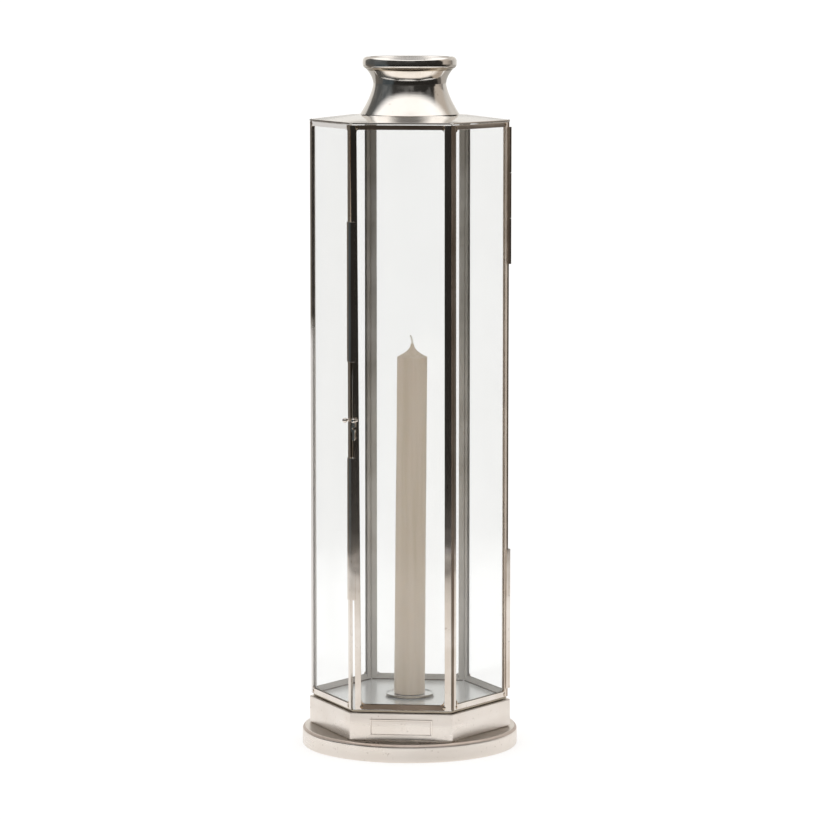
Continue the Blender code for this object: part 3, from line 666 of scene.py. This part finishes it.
# The outsides of these strips take lighter or darker copies of the strip nickel: painted dark reflection on
# the front rails, painted light on the others
OUTSIDE_OF = {
    "front_rail_bottom": PAINTED_DARK_NICKEL,
    "front_rail_top": PAINTED_DARK_NICKEL,
    "left_rail_top": PALE_PAINTED_NICKEL,
    "left_stile_a": PALER_BELOW_NICKEL,
    "right_stile_b": PALE_NICKEL,
}
# The inside of this stile takes the paler copy, which is painted light
INSIDE_OF = {"back_left_stile_b": PALE_PAINTED_NICKEL}
# The side of right_stile_b beside the hinge barrel takes painted shade; the front-corner side of
# right_stile_a takes painted groove shade
SIDE_OF = {  # a part of the stile with its own material: that, its width, and at which end (along) it lies
    "right_stile_b": (BARREL_SHADE_NICKEL, 0.0019, 1),
    "right_stile_a": (CORNER_SHADE_NICKEL, 0.0028, -1),
}


def paint_side(work, along, width, sign, index):
    """Another material on all that lies within a width of the stile's far edge, or its near one."""
    places = [vertex.co.dot(along) for vertex in work.verts]
    edge = max(places) - width if sign > 0 else min(places) + width
    geometry = work.verts[:] + work.edges[:] + work.faces[:]
    bmesh.ops.bisect_plane(work, geom=geometry, plane_co=along * edge, plane_no=along)
    paint(work, index, lambda face: sign * (face.calc_center_median().dot(along) - edge) > 0)


FRONT_DULL = -0.7  # faces whose normal points less outward than this are dull
BACK_DULL = 0.5


def make_strips():
    """Channel strips: polished outside and dull where they face the candle."""
    for index, panel in enumerate(PANELS):
        along, out = panel_axes(index)
        for end in ("stile_a", "stile_b", "rail_bottom", "rail_top"):
            node = f"{panel}_{end}"
            work = cad_solid(node)
            round_edges(work, STRIP_EDGE)
            slice_along(work, UP if "stile" in end else along, STRIP_SLICE)
            wobble(work, STRIP_WOBBLE, index * 3.1 + len(end))
            dull = BACK_DULL if "back" in panel else FRONT_DULL
            paint(work, 1, lambda face: face.normal.dot(out) < dull)
            materials = [OUTSIDE_OF.get(node, STRIP_NICKEL), INSIDE_OF.get(node, DULL_NICKEL)]
            if node in SIDE_OF:
                material, width, sign = SIDE_OF[node]
                paint_side(work, along, width, sign, 2)
                materials.append(material)
            stand_for(node, work, *materials)


def make_sheets():
    for node, width, material in (
        ("base_box", 0.0006, NICKEL),
        ("roof", 0.0004, SPUN_NICKEL),
    ):
        work = cad_solid(node)
        round_edges(work, width, 3)
        stand_for(node, work, material)


def make_floor_plate():
    """Smooth inside the lantern; its rim, seen under the rails, is darker: painted shadow of the rails."""
    work = cad_solid("floor_plate")
    round_edges(work, 0.0001, 2)
    # Painted shadow: the rim's sides, under the rails, take the darker second material
    paint(work, 1, lambda face: abs(face.normal.z) < 0.98)
    stand_for("floor_plate", work, FLOOR_NICKEL, TARNISH_AND_SHADE_NICKEL)


FOLD_OUTER = 0.0021
FOLD_INNER = 0.0009
STOP_SLICE = 0.012


def make_stop_strips():
    """Thin strips folded round the door's corner; the fold is rounded, as a real fold is."""
    for node in ("upper_stop_strip", "lower_stop_strip"):
        work = cad_solid(node)
        for sign, width in ((1, FOLD_OUTER), (-1, FOLD_INNER)):
            fold = [edge for edge in work.edges if 0.8 < sign * edge.calc_face_angle_signed(0.0) < 1.3]
            bmesh.ops.bevel(work, geom=fold, offset=width, segments=6, affect="EDGES", profile=0.5)
        round_edges(work, 0.00012, 2, 50)
        slice_along(work, UP, STOP_SLICE)
        wobble(work, STRIP_WOBBLE, len(node))
        stand_for(node, work, STRIP_NICKEL)


def add_bar(work, along, out, middle, sizes):
    """A straight bar whose sizes are along the panel, out of it, and up."""
    turn = Matrix((along, out, UP)).transposed().to_4x4()
    size = Matrix.Diagonal((*sizes, 1.0))
    bmesh.ops.create_cube(work, size=1.0, matrix=Matrix.Translation(middle) @ turn @ size)


LIP_W = 0.0040
LIP_T = 0.0005


def make_closing_lip():
    """Between the two stop strips, a thin strip behind the door's edge closes the gap beside it."""
    work = bmesh.new()
    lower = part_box("lower_stop_strip")[1].z
    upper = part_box("upper_stop_strip")[0].z
    along, out = panel_axes(PANELS.index("left"))
    stile = [vertex.co for vertex in frame["nodes"]["left_stile_b"].data.vertices]
    edge = max(place.dot(along) for place in stile)
    back = min(place.dot(out) for place in stile) - LIP_T
    middle = along * edge + out * back + UP * (lower + upper) / 2
    add_bar(work, along, out, middle, (LIP_W, LIP_T, upper - lower))
    round_edges(work, 0.0001)
    slice_along(work, UP, STRIP_SLICE)
    wobble(work, STRIP_WOBBLE)
    add_piece("closing_lip", work, [TARNISH_AND_SHADE_NICKEL], BODY_OF["left_stile_b"])


SEAM_W = 0.0007
SEAM_H = 0.0005
SEAM_END = 0.0006
FIXED_PANELS = ("back_right", "back", "back_left", "left")


def make_floor_seam():
    """A dark line of painted shade runs along the floor at the foot of the fixed panels' rails."""
    work = bmesh.new()
    for panel in FIXED_PANELS:
        along, out = panel_axes(PANELS.index(panel))
        rail = [vertex.co for vertex in frame["nodes"][f"{panel}_rail_bottom"].data.vertices]
        inner = min(place.dot(out) for place in rail)
        middle = out * inner + UP * (FLOOR_TOP + SEAM_H / 2)
        length = 2 * (inner * math.tan(math.radians(30)) - SEAM_END)
        add_bar(work, along, out, middle, (length, SEAM_W, SEAM_H))
    round_edges(work, 0.0001)
    wobble(work, STRIP_WOBBLE)
    add_piece("floor_seam", work, [PAINTED_DARK_NICKEL], BODY_OF["floor_plate"])


def make_hardware():
    """Hinges, latch, spike and nut: the CAD's solids with their edges broken."""
    hinges = [f"{level}_hinge_{part}" for level in ("lower", "upper") for part in ("frame_leaf", "door_leaf")]
    for node in hinges:
        work = cad_solid(node)
        round_edges(work, 0.00008, 2, 50)
        slice_along(work, UP, STOP_SLICE)
        # The upper hinge takes the darker copy of the nickel, which is painted shade
        stand_for(node, work, BARREL_SHADE_NICKEL if "upper" in node else STRIP_NICKEL)
    for node in ("latch_hook", "latch_pivot", "catch_stud"):
        work = cad_solid(node)
        round_edges(work, 0.00016, 3)
        stand_for(node, work, STRIP_NICKEL)
    for node in ("lower_hinge_pin", "upper_hinge_pin", "candle_spike", "spike_washer", "spike_nut"):
        work = cad_solid(node)
        round_edges(work, 0.00010, 2)
        stand_for(node, work, STEEL)


PLATE_BORDER = 0.0011
PLATE_GROOVE_W = 0.0004
PLATE_GROOVE_D = 0.00016


def make_nameplate():
    """A blank plate with a line pressed into it all round."""
    work = cad_solid("nameplate")
    face = min(work.faces, key=lambda f: f.calc_center_median().y)
    bmesh.ops.inset_individual(work, faces=[face], thickness=PLATE_BORDER)
    made = bmesh.ops.inset_individual(work, faces=[face], thickness=PLATE_GROOVE_W / 2, depth=-PLATE_GROOVE_D)
    walls = list(made["faces"])
    made = bmesh.ops.inset_individual(work, faces=[face], thickness=PLATE_GROOVE_W / 2, depth=PLATE_GROOVE_D)
    # The groove's walls take the second, darker material, which is painted shade
    for wall in walls + list(made["faces"]):
        wall.material_index = 1
    stand_for("nameplate", work, NICKEL, EDGE_AND_GROOVE_NICKEL, smooth_deg=20)


# --- turned pieces ----------------------------------------------------------------------------------

def cad_section(node):
    """The closed outline of a turned node, as (radius, height) points read off the CAD's own mesh."""
    work = bmesh.new()
    work.from_mesh(frame["nodes"][node].data)
    bmesh.ops.remove_doubles(work, verts=work.verts, dist=2e-6)
    on_plane = {vertex for vertex in work.verts if abs(vertex.co.y) < 2e-6 and vertex.co.x > 0}
    start = max(on_plane, key=lambda vertex: (round(vertex.co.z, 6), vertex.co.x))
    loop = [start]
    before = None
    while True:
        ways = [edge.other_vert(loop[-1]) for edge in loop[-1].link_edges]
        ways = [vertex for vertex in ways if vertex in on_plane and vertex is not before]
        if before is None:
            ways = [max(ways, key=lambda vertex: vertex.co.x)]
        before = loop[-1]
        if ways[0] is start:
            break
        loop.append(ways[0])
    points = [Vector((vertex.co.x, vertex.co.z)) for vertex in loop]
    work.free()
    return points


def smooth_outline(points, corner_deg=42, step=0.0006):
    """Rounds a closed outline between its sharp corners, with even tangents at the points between them."""
    count = len(points)
    tangents = []
    for k in range(count):
        before = (points[k] - points[k - 1]).normalized()
        after = (points[(k + 1) % count] - points[k]).normalized()
        if before.angle(after) > math.radians(corner_deg):
            tangents.append((before, after))
        else:
            middle = (points[(k + 1) % count] - points[k - 1]).normalized()
            tangents.append((middle, middle))
    outline = []
    for k in range(count):
        first, last = points[k], points[(k + 1) % count]
        length = (last - first).length
        leave = tangents[k][1] * length
        arrive = tangents[(k + 1) % count][0] * length
        bent = leave.angle(arrive) > math.radians(1.0)
        parts = max(1, min(8, round(length / step))) if bent else 1
        for j in range(parts):
            t = j / parts
            outline.append(
                first * (2 * t**3 - 3 * t**2 + 1)
                + leave * (t**3 - 2 * t**2 + t)
                + last * (3 * t**2 - 2 * t**3)
                + arrive * (t**3 - t**2)
            )
    return outline


def turn_outline(outline, closed=True, steps=SMOOTH_STEPS):
    """Turns an outline of (radius, height) points about Z; an open one starts and ends on the axis."""
    work = bmesh.new()
    rows = []
    for k in range(steps):
        angle = 2 * math.pi * k / steps
        rows.append([work.verts.new((p.x * math.cos(angle), p.x * math.sin(angle), p.y)) for p in outline])
    count = len(outline)
    spans = count if closed else count - 1
    for k in range(steps):
        here, there = rows[k], rows[(k + 1) % steps]
        for j in range(spans):
            work.faces.new((here[j], there[j], there[(j + 1) % count], here[(j + 1) % count]))
    if not closed:
        bmesh.ops.remove_doubles(work, verts=work.verts, dist=1e-7)
    return work


FOOT_EDGE = 0.96 * FOOT_R  # everything farther out belongs to the foot's rounded edge
NECK_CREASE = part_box("neck")[1].z - 0.014


def on_foot_edge(face):
    return 0.25 < face.normal.z < 0.97 and face.calc_center_median().xy.length > FOOT_EDGE


def make_turned():
    outlines = {node: smooth_outline(cad_section(node)) for node in ("foot", "neck", "drip_tray")}

    foot = turn_outline(outlines["foot"])
    round_edges(foot, 0.0003, 2, 42)
    paint(foot, 1, on_foot_edge)
    wobble(foot, 0.00012)
    stand_for("foot", foot, NICKEL, EDGE_AND_GROOVE_NICKEL)

    neck = turn_outline(outlines["neck"])
    round_edges(neck, 0.0002, 2, 42)
    # Painted shade: the underside of the rolled rim takes the darker second material
    paint(neck, 1, lambda face: face.normal.z < -0.62 and face.calc_center_median().z > NECK_CREASE)
    wobble(neck, 0.00012)
    stand_for("neck", neck, SPUN_NICKEL, TARNISH_AND_SHADE_NICKEL)

    tray = turn_outline(outlines["drip_tray"])
    round_edges(tray, 0.0002, 2, 42)
    # The tray's sides and underside take the darker second material
    paint(tray, 1, lambda face: face.normal.z < 0.5)
    wobble(tray, 0.00008)
    stand_for("drip_tray", tray, FLOOR_NICKEL, TARNISH_AND_SHADE_NICKEL)


CANDLE_TAPER = 0.972
CANDLE_TIP_H = 0.0092
CANDLE_SHOULDER = 0.0006
CANDLE_TIP_R = 0.0012
CANDLE_TIP_POWER = 2.1
CANDLE_FOOT_R = 0.0005


def candle_axis():
    """The middle of the candle's foot, the middle of its tip, and the radius of its foot."""
    places = [vertex.co for vertex in frame["nodes"]["candle"].data.vertices]
    low = min(place.z for place in places)
    high = max(place.z for place in places)
    foot = [place for place in places if place.z < low + 0.0005]
    tip = [place for place in places if place.z > high - 0.0002]
    foot_middle = Vector([(min(p[k] for p in foot) + max(p[k] for p in foot)) / 2 for k in range(3)])
    tip_middle = sum(tip, Vector()) / len(tip)
    radius = (max(p.y for p in foot) - min(p.y for p in foot)) / 2
    return foot_middle, tip_middle, radius


def make_candle():
    """A dinner candle: straight sides with soft dents, a rounded shoulder and a drawn-up tip."""
    foot, tip, radius = candle_axis()
    height = (tip - foot).length
    top_r = radius * CANDLE_TAPER
    shoulder_z = height - CANDLE_TIP_H
    outline = [Vector((0, height - 0.0006)), Vector((CANDLE_TIP_R * 0.6, height))]
    for k in range(15):
        t = k / 14
        reach = CANDLE_TIP_R + (top_r - CANDLE_SHOULDER - CANDLE_TIP_R) * t**CANDLE_TIP_POWER
        outline.append(Vector((reach, height - 0.0004 - (CANDLE_TIP_H - 0.0004) * t)))
    for k in range(1, 7):
        angle = math.radians(90 - 15 * k)
        inset = CANDLE_SHOULDER * (math.cos(angle) - 1)
        outline.append(Vector((top_r + inset, shoulder_z + CANDLE_SHOULDER * (math.sin(angle) - 1))))
    body_steps = 70
    top_z = shoulder_z - CANDLE_SHOULDER
    for k in range(1, body_steps + 1):
        t = k / body_steps
        outline.append(Vector((top_r + (radius - top_r) * t, top_z + (CANDLE_FOOT_R - top_z) * t)))
    outline.append(Vector((radius - CANDLE_FOOT_R, 0)))
    outline.append(Vector((0, 0)))
    work = turn_outline(outline, closed=False, steps=96)
    for vertex in work.verts:
        flat = Vector((vertex.co.x, vertex.co.y, 0))
        if flat.length > 1e-6 and vertex.co.z > CANDLE_FOOT_R:
            dent = noise.noise(Vector((vertex.co.x * 90, vertex.co.y * 90, vertex.co.z * 14)))
            ripple = noise.noise(Vector((vertex.co.x * 260, vertex.co.y * 260, vertex.co.z * 60)))
            vertex.co -= flat.normalized() * (0.00016 * (dent + 0.5) + 0.00004 * (ripple + 0.5))
    lean = UP.rotation_difference((tip - foot).normalized()).to_matrix().to_4x4()
    bmesh.ops.transform(work, matrix=Matrix.Translation(foot) @ lean, verts=work.verts)
    stand_for("candle", work, WAX, smooth_deg=60)


WICK_STRANDS = 3
WICK_TURNS = 4.5
WICK_STRAND_R = 0.00042
WICK_ORBIT_R = 0.00036
WICK_RINGS = 56
WICK_SIDES = 10


def make_wick():
    """Three twisted cotton strands, which bend over a little at the top."""
    low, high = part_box("wick")
    base = Vector((high.x - 0.0007, (low.y + high.y) / 2, low.z))
    work = bmesh.new()
    for strand in range(WICK_STRANDS):
        rows = []
        for k in range(WICK_RINGS + 1):
            t = k / WICK_RINGS
            turn = 2 * math.pi * (WICK_TURNS * t + strand / WICK_STRANDS)
            bend = max(0.0, t - 0.4) ** 2
            centre = base + Vector((-0.0035 * bend, -0.0008 * bend, (high.z - low.z - 0.0003) * t))
            centre += Vector((WICK_ORBIT_R * math.cos(turn), WICK_ORBIT_R * math.sin(turn), 0))
            fray = 1.0 if t < 0.9 else 1.0 - 5.0 * (t - 0.9)
            ring = []
            for j in range(WICK_SIDES):
                angle = 2 * math.pi * j / WICK_SIDES
                spoke = Vector((math.cos(angle), math.sin(angle), 0))
                ring.append(work.verts.new(centre + spoke * WICK_STRAND_R * fray))
            rows.append(ring)
        for k in range(WICK_RINGS):
            for j in range(WICK_SIDES):
                n = (j + 1) % WICK_SIDES
                work.faces.new((rows[k][j], rows[k][n], rows[k + 1][n], rows[k + 1][j]))
        work.faces.new(list(reversed(rows[0])))
        work.faces.new(rows[-1])
    stand_for("wick", work, COTTON, smooth_deg=70)


# --- solder -----------------------------------------------------------------------------------------

def blob(work, centre, sizes, axes, seed):
    """An uneven drop of solder: a small ball, flattened and roughened."""
    made = bmesh.ops.create_icosphere(work, subdivisions=3, radius=1.0)["verts"]
    for vertex in made:
        lump = 1.0 + 0.28 * noise.noise(vertex.co * 1.6 + Vector((seed, 2 * seed, -seed)))
        local = vertex.co * lump
        vertex.co = centre + sum((axis * (local[k] * sizes[k]) for k, axis in enumerate(axes)), Vector())


def rail_ends(node, along, out):
    """Points on the outer face of a rail, at the middle of its height, at its two ends."""
    verts = [vertex.co for vertex in frame["nodes"][node].data.vertices]
    places = [v.dot(along) for v in verts]
    face = max(v.dot(out) for v in verts)
    height = (max(v.z for v in verts) + min(v.z for v in verts)) / 2
    return [along * place + out * face + UP * height for place in (min(places), max(places))]


def fillet(work, corner, along, upward, out, size):
    """A triangle of solder with a hollow long side, run into the inner corner of stile and rail."""
    curve = [corner + along * size]
    for k in range(1, 5):
        t = k / 5
        bow = 0.30 * math.sin(math.pi * t)
        curve.append(corner + along * size * (1 - t) * (1 - bow) + upward * size * t * (1 - bow))
    curve.append(corner + upward * size)
    back = [work.verts.new(place - out * 0.0003) for place in [corner] + curve]
    front = [work.verts.new(place + out * 0.00025) for place in [corner] + curve]
    work.faces.new(back)
    work.faces.new(list(reversed(front)))
    count = len(back)
    for k in range(count):
        n = (k + 1) % count
        work.faces.new((back[k], back[n], front[n], front[k]))


FILLETS = {"front": (0.0026, 0.0030), "right": (0.0030, 0.0016), "left": (0.0016, 0.0012)}


def make_solder():
    """Drops of solder over the joints of stile and rail, one piece for each panel."""
    for index, panel in enumerate(PANELS):
        along, out = panel_axes(index)
        work = bmesh.new()
        for level in ("rail_bottom", "rail_top"):
            node = f"{panel}_{level}"
            low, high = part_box(node)
            upward = UP if level == "rail_bottom" else -UP
            edge = high.z if level == "rail_bottom" else low.z
            for side, place in enumerate(rail_ends(node, along, out)):
                seed = index * 5.3 + side * 1.7 + len(level)
                blob(work, place - out * 0.0001, (0.0011, 0.0013, 0.00032), (along, UP, out), seed)
                inward = along if side == 0 else -along
                size = FILLETS.get(panel, (0.0014, 0.0014))[side] * (1.0 if level == "rail_bottom" else 0.5)
                fillet(work, Vector((place.x, place.y, edge)), inward, upward, out, size)
        add_piece(f"{panel}_solder", work, [SOLDER], BODY_OF[f"{panel}_rail_top"], 60)


def make_roof_tips():
    """The roof's six corners are closed with a rounded drop of solder."""
    edge_z = min(v.co.z for v in frame["nodes"]["roof"].data.vertices) + 0.0006
    reach = max(v.co.x for v in frame["nodes"]["roof"].data.vertices) - 0.0009
    work = bmesh.new()
    for corner in range(6):
        turn = math.radians(60 * corner)
        out = Vector((math.cos(turn), math.sin(turn), 0))
        side = Vector((-math.sin(turn), math.cos(turn), 0))
        blob(work, out * reach + UP * edge_z, (0.0010, 0.0014, 0.0009), (out, side, UP), corner * 2.7)
    add_piece("roof_tips", work, [TIN], BODY_OF["roof"], 60)


OLD_PANES = ("front_pane", "back_pane")


def keep_cad_pieces():
    by_slot = {"glass": GLASS, "steel": STEEL, "nickel": STRIP_NICKEL}
    for node, cad in frame["nodes"].items():
        if not cad.hide_render:
            cad.data.materials.clear()
            cad.data.materials.append(OLD_GLASS if node in OLD_PANES else by_slot[SLOT_OF[node]])


make_camera()
make_studio()
make_strips()
make_sheets()
make_floor_plate()
make_stop_strips()
make_closing_lip()
make_floor_seam()
make_hardware()
make_nameplate()
make_turned()
make_candle()
make_wick()
make_solder()
make_roof_tips()
keep_cad_pieces()
